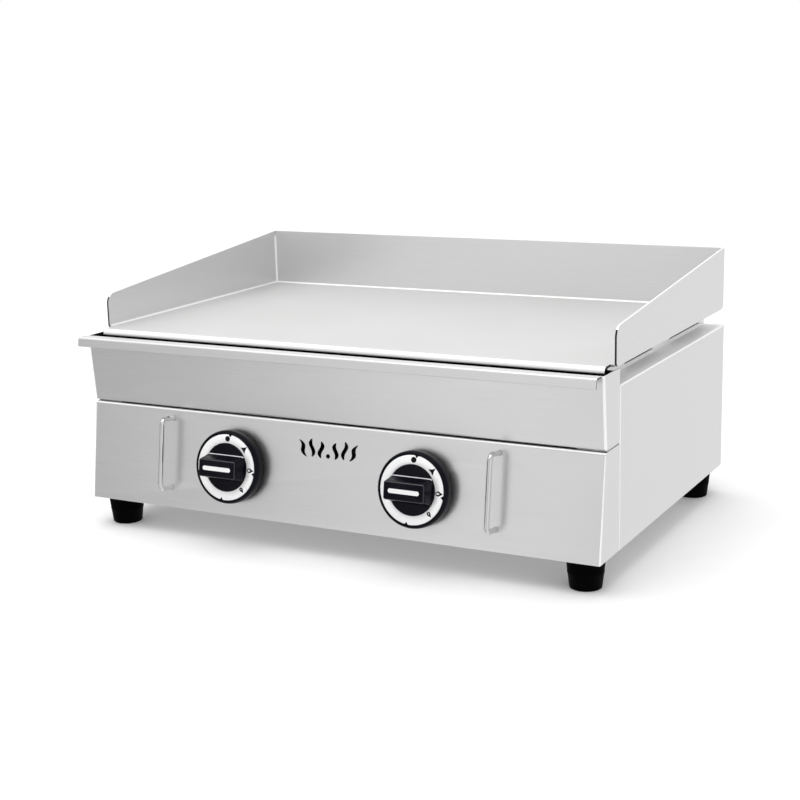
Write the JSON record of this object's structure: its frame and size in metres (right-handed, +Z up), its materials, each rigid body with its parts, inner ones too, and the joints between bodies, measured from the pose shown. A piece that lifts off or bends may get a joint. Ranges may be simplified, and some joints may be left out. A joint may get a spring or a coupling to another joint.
{
  "type": "flat top griddle",
  "caption": "Counter-top gas griddle: flat steel plate with splash guards on a folded stainless body, with a pull-out grease tray, turn-and-push knobs, wire handles and rubber feet.",
  "frame": {"origin": "on the counter, under the middle of the outline (feet at z = 0)", "axes": "+X to the right as the cook sees it, -Y to the front with the knobs, +Z up"},
  "size_m": [0.564, 0.4192, 0.2662],
  "materials": {
    "casing_steel": "brushed",
    "plate_steel": "satin",
    "slab_iron": "oxidised",
    "shield_sheet": "mill finish",
    "burner_steel": "heat tinted",
    "handle_wire": "polished",
    "fastener_steel": "zinc plated",
    "gas_pipe": "zinc plated",
    "brass": "machined",
    "knob_black": "satin moulded",
    "dial_silver": "satin",
    "foot_rubber": "moulded",
    "ceramic": "glazed",
    "lead_silicone": "smooth"
  },
  "bodies": {
    "body": {"base_pan": "casing_steel", "left_side_panel": "casing_steel", "right_side_panel": "casing_steel", "back_panel": "casing_steel", "front_panel": "casing_steel", "inner_wall": "casing_steel", "heat_shield": "shield_sheet", "left_tray_runner": "shield_sheet", "right_tray_runner": "shield_sheet", "griddle_plate": "plate_steel", "heat_slab": "slab_iron", "left_splash_guard": "casing_steel", "right_splash_guard": "casing_steel", "back_splash_guard": "casing_steel", "left_handle": "handle_wire", "right_handle": "handle_wire", "handle_nuts": "fastener_steel", "front_left_foot": "foot_rubber", "front_right_foot": "foot_rubber", "rear_left_foot": "foot_rubber", "rear_right_foot": "foot_rubber", "foot_screws": "fastener_steel", "panel_screws": "fastener_steel", "gas_manifold": "gas_pipe", "gas_inlet_pipe": "gas_pipe", "inlet_lock_nut": "brass", "left_manifold_bracket": "shield_sheet", "right_manifold_bracket": "shield_sheet", "left_valve_body": "brass", "right_valve_body": "brass", "left_injector": "brass", "right_injector": "brass", "left_burner": "burner_steel", "right_burner": "burner_steel", "burner_rail": "shield_sheet", "left_igniter": "knob_black", "right_igniter": "knob_black", "left_ignition_lead": "lead_silicone", "right_ignition_lead": "lead_silicone", "left_electrode": "shield_sheet", "right_electrode": "shield_sheet", "left_ceramic": "ceramic", "right_ceramic": "ceramic"},
    "left_valve": {"left_valve_plug": "brass", "left_return_spring": "fastener_steel"},
    "left_knob": {"left_knob": "knob_black", "left_dial_ring": "dial_silver", "left_valve_stem": "fastener_steel"},
    "left_shutter": {"left_air_shutter": "shield_sheet"},
    "right_valve": {"right_valve_plug": "brass", "right_return_spring": "fastener_steel"},
    "right_knob": {"right_knob": "knob_black", "right_dial_ring": "dial_silver", "right_valve_stem": "fastener_steel"},
    "right_shutter": {"right_air_shutter": "shield_sheet"},
    "tray": {"grease_tray": "casing_steel"}
  },
  "joints": [
    {"name": "left_valve_turn", "type": "hinge", "parent": "body", "child": "left_valve", "pos_m": [-0.106, -0.17666, 0.07947], "axis": [0, -0.9893, 0.1457], "range_deg": [0, 145]},
    {"name": "left_knob_push", "type": "slide", "parent": "left_valve", "child": "left_knob", "axis": [0, 0.9893, -0.1457], "range_m": [0, 0.004], "stiffness_N_per_m": 900, "springref_m": -0.003, "deforming": ["left_return_spring"]},
    {"name": "left_air_shutter_turn", "type": "hinge", "parent": "body", "child": "left_shutter", "pos_m": [-0.106, -0.10544, 0.07131], "axis": [0, 1, 0], "range_deg": [-30, 30]},
    {"name": "right_valve_turn", "type": "hinge", "parent": "body", "child": "right_valve", "pos_m": [0.099, -0.17666, 0.07947], "axis": [0, -0.9893, 0.1457], "range_deg": [0, 145]},
    {"name": "right_knob_push", "type": "slide", "parent": "right_valve", "child": "right_knob", "axis": [0, 0.9893, -0.1457], "range_m": [0, 0.004], "stiffness_N_per_m": 900, "springref_m": -0.003, "deforming": ["right_return_spring"]},
    {"name": "right_air_shutter_turn", "type": "hinge", "parent": "body", "child": "right_shutter", "pos_m": [0.099, -0.10544, 0.07131], "axis": [0, 1, 0], "range_deg": [-30, 30]},
    {"name": "grease_tray_slide", "type": "slide", "parent": "body", "child": "tray", "axis": [0, -1, 0], "range_m": [0, 0.07]}
  ]
}
